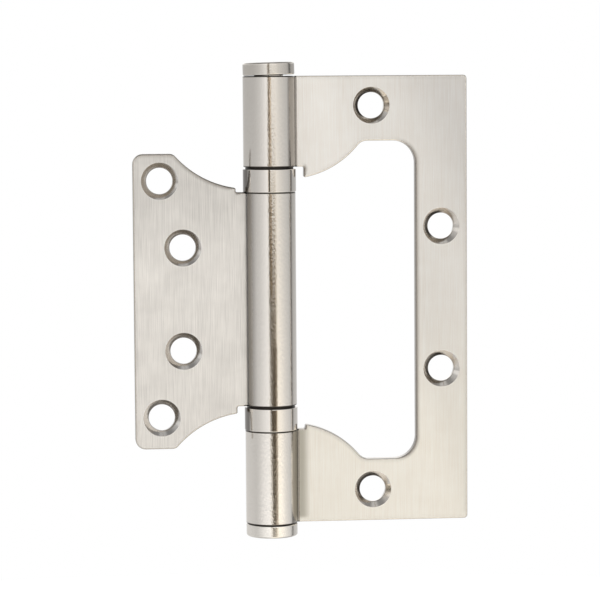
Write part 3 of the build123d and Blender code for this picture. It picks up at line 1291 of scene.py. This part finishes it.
    def leaf(self, outline: Outline, tabs: list[Span], holes: list[Point], **own: object) -> RolledSheet:
        """Puts one leaf's drawing, in millimetres, into a rolled sheet in metres.

        Args:
            outline: its flat outline.
            tabs: lower and upper level of each knuckle.
            holes: centres of the screw holes.
            own: the sheet's own name, body, node, sunk face, turn and painted edge shade, and on the large
                leaf the heading of the painted countersink shade.

        Returns:
            The sheet, ready to build.
        """
        line = outline.closer(self.straight_step)
        shared = ("knuckle_radius", "bend_radius", "seam_x", "edge_round", "hole_radius", "sink_radius")
        return RolledSheet(
            outline=Outline([p * MM for p in line.points], line.headings, [r * MM for r in line.radii]),
            tabs=[(low * MM, high * MM) for low, high in tabs],
            holes=[(x * MM, z * MM) for x, z in holes],
            thickness=self.sheet * MM,
            front=self.frame_front * MM,
            **{size: getattr(self, size) * MM for size in shared},
            **own,
        )

    def dress(self) -> None:
        """Builds both leaves with their four finishes each."""
        knuckle, end = ROLLED_KNUCKLE.build(), KNUCKLE_END.build()
        sets = (
            (self.large(), LARGE_LEAF_FACE, SHADED_COUNTERSINK, LARGE_LEAF_EDGE),
            (self.small(), SMALL_LEAF_FACE, CUT_COUNTERSINK, SMALL_LEAF_EDGE),
        )
        for sheet, face, sink, edge in sets:
            piece = sheet.surface().make(sheet.name, [face.build(), knuckle, sink.build(), edge.build(), end])
            settle(piece, sheet.body, sheet.node)


def settle(piece: bpy.types.Object, body: str, node: str) -> None:
    """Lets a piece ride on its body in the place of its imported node.

    Args:
        piece: the finished piece.
        body: the body's name.
        node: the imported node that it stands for.
    """
    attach(piece, body)
    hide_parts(node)
    LOG.info("%s: %d faces, rides on %s, stands for %s", piece.name, len(piece.data.polygons), body, node)


@dataclass
class BearingRings:
    """The buffed cup round each ball bearing: a thin floor and a thin wall with rounded rims."""

    wall: float = 0.5
    floor: float = 0.6
    bore_clearance: float = 0.08
    rim_round: float = 0.18
    inner_round: float = 0.08

    def section(self, node: str) -> Outline:
        """Draws the cup's section, radius against height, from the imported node's box.

        Args:
            node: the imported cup.

        Returns:
            The section, walked with the metal on the left.
        """
        low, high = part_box(node)
        _, pin_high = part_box("hinge_pin")
        outer, bottom, top = high.x, low.z, high.z
        bore = pin_high.x + self.bore_clearance * MM
        inner = outer - self.wall * MM
        shelf = bottom + self.floor * MM
        section = Outline()
        for at, start, end, radius in (
            ((outer, bottom), EAST, NORTH, self.rim_round),
            ((outer, top), NORTH, WEST, self.rim_round),
            ((inner, top), WEST, SOUTH, self.inner_round),
            ((inner, shelf), SOUTH, WEST, self.inner_round),
            ((bore, shelf), WEST, SOUTH, self.inner_round),
            ((bore, bottom), -NORTH, EAST, self.inner_round),
        ):
            section.corner(at, start, end, radius * MM)
        return section

    def dress(self) -> None:
        """Builds both cups."""
        finish = BUFFED_RING.build()
        for place, body in (("upper", "sash"), ("lower", "root")):
            piece = revolved(self.section(f"{place}_shell")).make(f"{place}_bearing_ring", [finish])
            settle(piece, body, f"{place}_shell")


@dataclass
class ButtonTips:
    """The turned tips in the ends of the knuckle line. The top one leans a little, as it was pushed in."""

    height: float = 2.8
    radius: float = 5.75
    stem_radius: float = 3.2
    stem_length: float = 2.5
    stem_round: float = 0.2
    neck_round: float = 0.1
    crown_round: float = 0.5
    rim_round: float = 0.25
    top_lift: float = 0.2
    bottom_lift: float = 0.1
    top_lean_deg: float = 1.4

    def surface(self) -> Surface:
        """Builds one tip, standing on the origin with its stem below.

        The section runs from the stem's foot over the rounded rim to the crown.

        Returns:
            The closed surface.
        """
        section = Outline()
        for at, start, end, radius in (
            ((self.stem_radius, -self.stem_length), EAST, NORTH, self.stem_round),
            ((self.stem_radius, 0), NORTH, EAST, self.neck_round),
            ((self.radius, 0), EAST, NORTH, self.rim_round),
            ((self.radius, self.height), NORTH, WEST, self.crown_round),
        ):
            section.corner((at[0] * MM, at[1] * MM), start, end, radius * MM)
        return revolved(section, solid=True)

    def dress(self) -> None:
        """Builds the leaning top tip and the bottom tip, which is turned over."""
        finish = TUMBLED_TIP.build()
        frame_low, frame_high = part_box("frame_leaf")
        lean = Matrix.Rotation(-math.radians(self.top_lean_deg), 3, "Y")
        turned = Matrix.Rotation(math.pi, 3, "X")
        tips = (
            ("top", lean, frame_high.z + self.top_lift * MM),
            ("bottom", turned, frame_low.z - self.bottom_lift * MM),
        )
        for place, turn, level in tips:
            surface = self.surface()
            surface.points = surface.points @ np.array(turn).T + np.array([0, 0, level])
            surface.normals = surface.normals @ np.array(turn).T
            piece = surface.make(f"{place}_button_tip", [finish])
            settle(piece, "root", f"{place}_cap")


def dress_packed_nodes(nodes: dict[str, bpy.types.Object]) -> None:
    """Gives the pin, races, cages and balls, which stay as packed, their own finishes.

    Args:
        nodes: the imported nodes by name.
    """
    finishes = {
        "hinge_pin": DRAWN_STEEL.build(),
        "race": RACE_IN_PAINTED_SHADE.build(),
        "cage": MouldedNylon().build(),
        "ball_": POLISHED_BALL.build(),
    }
    for name, node in nodes.items():
        for key, material in finishes.items():
            if key in name and not (key == "ball_" and "cage" in name):
                node.data.materials.clear()
                node.data.materials.append(material)
                LOG.info("%s: %s", name, material.name)


@dataclass(frozen=True)
class TentPanel:
    """One upright stripe of the light tent: its bearing, its light at eye level and low down, its cream."""

    bearing: float
    upper: float
    lower: float
    cream: float = 0.0


@dataclass
class LightTent:
    """A white tent round the hinge with a slit for the lens, drawn on the world.

    Bearings are in degrees: 0 looks along -Y, where the lens stands, and 90 along +X. Heights are degrees
    above the horizon. The walls are whitest beside the slit, fall off to the sides and are whiter low
    down, with a cream cloth on the low right. A narrow gap stands open on the right side. A bright brow
    runs above eye level and a bright sill lies ahead, low down. The roof is dim but for its middle. Camera
    rays see plain white.
    """

    panels: tuple[TentPanel, ...] = (
        TentPanel(-180, 0.80, 0.92),
        TentPanel(-150, 0.56, 0.76),
        TentPanel(-115, 0.55, 0.76),
        TentPanel(-78, 0.56, 0.70),
        TentPanel(-60, 0.61, 0.78),
        TentPanel(-45, 0.68, 0.90),
        TentPanel(-30, 0.83, 1.00),
        TentPanel(-16, 1.04, 1.06),
        TentPanel(16, 1.04, 1.22, 1.0),
        TentPanel(38, 0.76, 1.26, 0.7),
        TentPanel(60, 0.66, 0.98, 0.3),
        TentPanel(85, 0.56, 0.78),
        TentPanel(94, 0.44, 0.64),
        TentPanel(99, 0.12, 0.26),
        TentPanel(106, 0.12, 0.26),
        TentPanel(112, 0.45, 0.60),
        TentPanel(145, 0.50, 0.70),
        TentPanel(180, 0.80, 0.92),
    )
    cream: str = "#FFF7E6"
    upper_cream: float = 0.2
    lower_cream: float = 0.8
    low_walls: Span = (0.5, -9.0)
    brow: float = 0.64
    brow_rise: Span = (1.5, 9.0)
    brow_fall: Span = (28.0, 16.0)
    sill: float = 0.6
    sill_drop: Span = (-9.4, -11.0)
    sill_sides: Span = (75.0, 40.0)
    roof: float = 0.3
    eaves: Span = (30.0, 58.0)
    zenith: float = 0.6
    zenith_rise: Span = (68.0, 80.0)
    core: tuple[float, float, float] = (0.01, 0.008, 0.006)
    wing: tuple[float, float, float] = (0.12, 0.095, 0.065)
    fringe: tuple[float, float, float] = (0.85, 0.68, 0.46)
    fringe_width: float = 1.3
    slit_bearing: float = -5.5
    slit_half_width: float = 3.0
    slit_soft: float = 0.8
    slit_fading: float = 0.25
    fading_rise: Span = (-1.6, -0.6)
    wing_top: Span = (-1.2, -4.6)
    wing_foot: Span = (-11.5, -10.0)
    wing_end: float = 21.0
    wing_soft: float = 4.2
    lowest_drop: Span = (-7.3, -7.8)
    lowest_shift: float = 8.0
    lowest_end: float = 3.0

    def build(self) -> None:
        """Draws the tent on the world's background."""
        world = bpy.data.worlds.new("light_tent")
        bpy.context.scene.world = world
        tree = emptied(world)
        ray = add_node(tree, "ShaderNodeTexCoord").outputs["Generated"]
        axes = add_node(tree, "ShaderNodeSeparateXYZ", {0: ray}).outputs
        bearing = self.bearing(tree, axes)
        rise = add_node(tree, "ShaderNodeMath", {0: axes["Z"]}, operation="ARCSINE")
        height = add_node(tree, "ShaderNodeMath", {0: rise}, operation="DEGREES")
        upper = self.wall(tree, bearing, [panel.upper for panel in self.panels], self.upper_cream)
        lower = self.lower_wall(tree, bearing)
        first, full = self.low_walls
        limits = {"Value": height, "From Min": first, "From Max": full}
        low_share = add_node(tree, "ShaderNodeMapRange", limits)
        walls = add_node(tree, "ShaderNodeMix", {0: low_share, 6: upper, 7: lower}, data_type="RGBA")
        above = mask(tree, (height, *self.brow_rise), (height, *self.brow_fall))
        outer, inner = self.sill_sides
        below = mask(tree, (height, *self.sill_drop), (bearing, -outer, -inner), (bearing, outer, inner))
        gain = 1.0
        for share, more in ((above, self.brow), (below, self.sill)):
            gain = add_node(tree, "ShaderNodeMath", {0: share, 1: more, 2: gain}, operation="MULTIPLY_ADD")
        walls = add_node(tree, "ShaderNodeVectorMath", {0: walls, "Scale": gain}, operation="SCALE")
        levels = {0: mask(tree, (height, *self.zenith_rise)), 1: self.zenith - self.roof, 2: self.roof}
        roof = add_node(tree, "ShaderNodeMath", levels, operation="MULTIPLY_ADD")
        under = mask(tree, (height, *self.eaves))
        tent = add_node(tree, "ShaderNodeMix", {0: under, 6: walls, 7: roof}, data_type="RGBA")
        for margin, with_wing, colour in (
            (self.fringe_width, True, self.fringe),
            (0.0, True, self.wing),
            (0.0, False, self.core),
        ):
            slit = self.slit(tree, bearing, height, margin, with_wing)
            tent = add_node(tree, "ShaderNodeMix", {0: slit, 6: tent, 7: (*colour, 1.0)}, data_type="RGBA")
        camera = add_node(tree, "ShaderNodeLightPath").outputs["Is Camera Ray"]
        lit = add_node(tree, "ShaderNodeBackground", {"Color": tent, "Strength": 1.0})
        paper = add_node(tree, "ShaderNodeBackground", {"Color": (1.0, 1.0, 1.0, 1.0), "Strength": 1.0})
        seen = add_node(tree, "ShaderNodeMixShader", {0: camera, 1: lit, 2: paper})
        add_node(tree, "ShaderNodeOutputWorld", {"Surface": seen})
        LOG.info("light tent with %d panels", len(self.panels))

    @staticmethod
    def bearing(tree: Tree, axes: bpy.types.bpy_prop_collection) -> Signal:
        """Gives the bearing of a direction or place.

        Args:
            tree: the node tree that takes it.
            axes: its separate coordinates.

        Returns:
            The bearing in degrees.
        """
        away = add_node(tree, "ShaderNodeMath", {0: axes["Y"], 1: -1.0}, operation="MULTIPLY")
        radians = add_node(tree, "ShaderNodeMath", {0: axes["X"], 1: away}, operation="ARCTAN2")
        return add_node(tree, "ShaderNodeMath", {0: radians}, operation="DEGREES")

    def wall(self, tree: Tree, bearing: Signal, levels: list[float], cream: float) -> Signal:
        """Draws one ring of the tent as a ramp of light over the bearing.

        Args:
            tree: the node tree that takes it.
            bearing: degrees round the tent.
            levels: the light of each panel.
            cream: how much of each panel's cream shows.

        Returns:
            The ring's colour.
        """
        limits = {"Value": bearing, "From Min": -180.0, "From Max": 180.0}
        share = add_node(tree, "ShaderNodeMapRange", limits)
        tint = np.array(linear(self.cream)[:3])
        stops = []
        for panel, level in zip(self.panels, levels):
            colour = level * (1 + (tint - 1) * cream * panel.cream)
            stops.append(((panel.bearing + 180) / 360, (*colour.tolist(), 1.0)))
        ramp = add_node(tree, "ShaderNodeValToRGB", {0: share})
        set_stops(ramp, stops)
        return ramp

    def lower_wall(self, tree: Tree, bearing: Signal) -> Signal:
        """Draws the tent's lower ring, which the floor carries on."""
        return self.wall(tree, bearing, [panel.lower for panel in self.panels], self.lower_cream)

    def slit(self, tree: Tree, bearing: Signal, height: Signal, margin: float, with_wing: bool) -> Signal:
        """Gives how far each direction lies in the dark of the lens slit.

        The slit is a narrow upright stripe, a little fainter above eye level. Below it the slit opens to
        the right, to its full darkness a few degrees down, and lowest of all both its sides move in.

        Args:
            tree: the world's node tree.
            bearing: degrees round the tent.
            height: degrees above the horizon.
            margin: degrees by which the area is wider than the slit itself.
            with_wing: True if the opening to the right counts too.

        Returns:
            The share of dark, from 0 to 1.
        """
        left = self.slit_bearing - self.slit_half_width - margin
        right = self.slit_bearing + self.slit_half_width + margin
        lowest = mask(tree, (height, *self.lowest_drop))
        moved, ending = (
            add_node(tree, "ShaderNodeMath", {0: lowest, 1: shift, 2: bearing}, operation="MULTIPLY_ADD")
            for shift in (-self.lowest_shift, self.lowest_end)
        )
        enter = (moved, left - self.slit_soft, left + self.slit_soft)
        leave = (moved, right + self.slit_soft, right - self.slit_soft)
        faded = {0: mask(tree, (height, *self.fading_rise)), 1: -self.slit_fading, 2: 1.0}
        fading = add_node(tree, "ShaderNodeMath", faded, operation="MULTIPLY_ADD")
        stripe = add_node(
            tree, "ShaderNodeMath", {0: mask(tree, enter, leave), 1: fading}, operation="MULTIPLY"
        )
        if not with_wing:
            return stripe
        end = self.wing_end + margin
        stop = (ending, end + self.wing_soft, end - self.wing_soft)
        wing = mask(tree, enter, stop, (height, *self.wing_top), (height, *self.wing_foot))
        return add_node(tree, "ShaderNodeMath", {0: stripe, 1: wing}, operation="MAXIMUM")


@dataclass
class Studio:
    """The pale floor under the hinge, one soft lamp over it and the camera."""

    tent: LightTent
    floor_drop: float = 0.19
    floor_radius: float = 0.7
    floor_steps: int = 96
    paper_white: float = 0.62
    fibre_scale: float = 900.0
    fibre_shades: tuple[str, str] = ("#E6E6E4", "#ECECEA")
    mirrored: tuple[Span, ...] = (
        (0.0, 0.12), (0.09, 0.3), (0.16, 0.75), (0.3, 1.0), (0.5, 1.05), (0.7, 1.05),
    )
    lamp_size: float = 0.6
    lamp_place: tuple[float, float, float] = (0.25, 0.5, 1.0)
    lamp_power: float = 4.0
    eye: tuple[float, float, float] = (-52.24, -595.21, 47.55)
    yaw_deg: float = -5.652
    pitch_deg: float = 4.545
    roll_deg: float = 0.397
    lens: float = 160.93
    sensor: float = 36.0
    clipping: Span = (0.01, 20.0)

    def paper(self) -> bpy.types.Material:
        """Makes the floor's matt white paper.

        For the camera it is mostly its own white, with a share lit by the lamp and the tent, so that it
        keeps the hinge's shadow. In reflections it carries the tent's lower ring on, dark straight below
        the hinge and at full light from 0.3 m out. Seen from below it isn't there.

        Returns:
            The material.
        """
        paper = bpy.data.materials.new("matt_white_paper")
        tree = emptied(paper)
        place = add_node(tree, "ShaderNodeTexCoord").outputs["Object"]
        size = {"Vector": place, "Scale": self.fibre_scale, "Detail": 3.0}
        fibre = add_node(tree, "ShaderNodeTexNoise", size)
        dark, light = (linear(colour) for colour in self.fibre_shades)
        shades = {0: fibre, 6: dark, 7: light}
        shade = add_node(tree, "ShaderNodeMix", shades, data_type="RGBA")
        matt = add_node(tree, "ShaderNodeBsdfDiffuse", {"Color": shade})
        ray = add_node(tree, "ShaderNodeLightPath").outputs
        straight = {0: ray["Is Camera Ray"], 1: ray["Is Transmission Ray"]}
        seen = add_node(tree, "ShaderNodeMath", straight, operation="MAXIMUM")
        own = add_node(tree, "ShaderNodeMath", {0: seen, 1: self.paper_white}, operation="MULTIPLY")
        white = add_node(tree, "ShaderNodeEmission", {"Color": (1.0, 1.0, 1.0, 1.0), "Strength": own})
        lit = add_node(tree, "ShaderNodeAddShader", {0: matt, 1: white})
        axes = add_node(tree, "ShaderNodeSeparateXYZ", {0: place}).outputs
        ring = self.tent.lower_wall(tree, self.tent.bearing(tree, axes))
        out = add_node(tree, "ShaderNodeVectorMath", {0: place}, operation="LENGTH")
        share = add_node(tree, "ShaderNodeMath", {0: out, 1: self.floor_radius}, operation="DIVIDE")
        gain = add_node(tree, "ShaderNodeValToRGB", {0: share})
        stops = [(radius / self.floor_radius, (level, level, level, 1.0)) for radius, level in self.mirrored]
        set_stops(gain, stops)
        glow = add_node(tree, "ShaderNodeEmission", {"Color": ring, "Strength": gain})
        both = add_node(tree, "ShaderNodeMixShader", {0: ray["Is Glossy Ray"], 1: lit, 2: glow})
        under = add_node(tree, "ShaderNodeNewGeometry").outputs["Backfacing"]
        clear = add_node(tree, "ShaderNodeBsdfTransparent")
        open_below = add_node(tree, "ShaderNodeMixShader", {0: under, 1: both, 2: clear})
        add_node(tree, "ShaderNodeOutputMaterial", {"Surface": open_below})
        return paper

    def floor(self) -> None:
        """Builds the floor, a disc of paper well below the hinge."""
        angle = np.linspace(0, FULL_TURN, self.floor_steps, endpoint=False)
        rim = np.stack([np.cos(angle), np.sin(angle)], axis=1) * self.floor_radius
        points = np.column_stack([rim, np.full(self.floor_steps, -self.floor_drop)])
        mesh = bpy.data.meshes.new("paper_floor")
        mesh.from_pydata(points.tolist(), [], [tuple(range(self.floor_steps))])
        mesh.materials.append(self.paper())
        floor = bpy.data.objects.new("paper_floor", mesh)
        bpy.context.scene.collection.objects.link(floor)
        LOG.info("floor %.2f m below the hinge's middle", self.floor_drop)

    def lamp(self) -> None:
        """Hangs one large soft lamp high behind the hinge, which only lights the floor and upper edges."""
        light = bpy.data.lights.new("soft_lamp", "AREA")
        light.shape = "SQUARE"
        light.size = self.lamp_size
        light.energy = self.lamp_power
        lamp = bpy.data.objects.new("soft_lamp", light)
        lamp.location = self.lamp_place
        lamp.rotation_euler = (-Vector(self.lamp_place)).to_track_quat("-Z", "Y").to_euler()
        lamp.visible_camera = False
        lamp.visible_glossy = False
        bpy.context.scene.collection.objects.link(lamp)

    def camera(self) -> None:
        """Places the camera: yaw about +Z, then pitch down, then roll, from a level look along +Y."""
        place = Matrix.Translation(Vector(self.eye) * MM)
        for degrees, axis in ((self.yaw_deg, "Z"), (-self.pitch_deg, "X"), (self.roll_deg, "Y"), (90.0, "X")):
            place = place @ Matrix.Rotation(math.radians(degrees), 4, axis)
        data = bpy.data.cameras.new("portrait_camera")
        data.sensor_width = self.sensor
        data.lens = self.lens
        data.clip_start, data.clip_end = self.clipping
        camera = bpy.data.objects.new("portrait_camera", data)
        camera.matrix_world = place
        bpy.context.scene.collection.objects.link(camera)
        bpy.context.scene.camera = camera

    def build(self) -> None:
        """Builds the floor, the lamp and the camera."""
        self.floor()
        self.lamp()
        self.camera()
        bpy.context.scene.view_settings.view_transform = "Standard"


def main() -> None:
    """Loads the frame, dresses it and sets up the studio."""
    logging.basicConfig(level=logging.INFO, format="%(name)s: %(message)s")
    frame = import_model()
    tent = LightTent()
    Studio(tent).build()
    tent.build()
    Leaves().dress()
    BearingRings().dress()
    ButtonTips().dress()
    dress_packed_nodes(frame["nodes"])


if __name__ == "__main__":
    main()
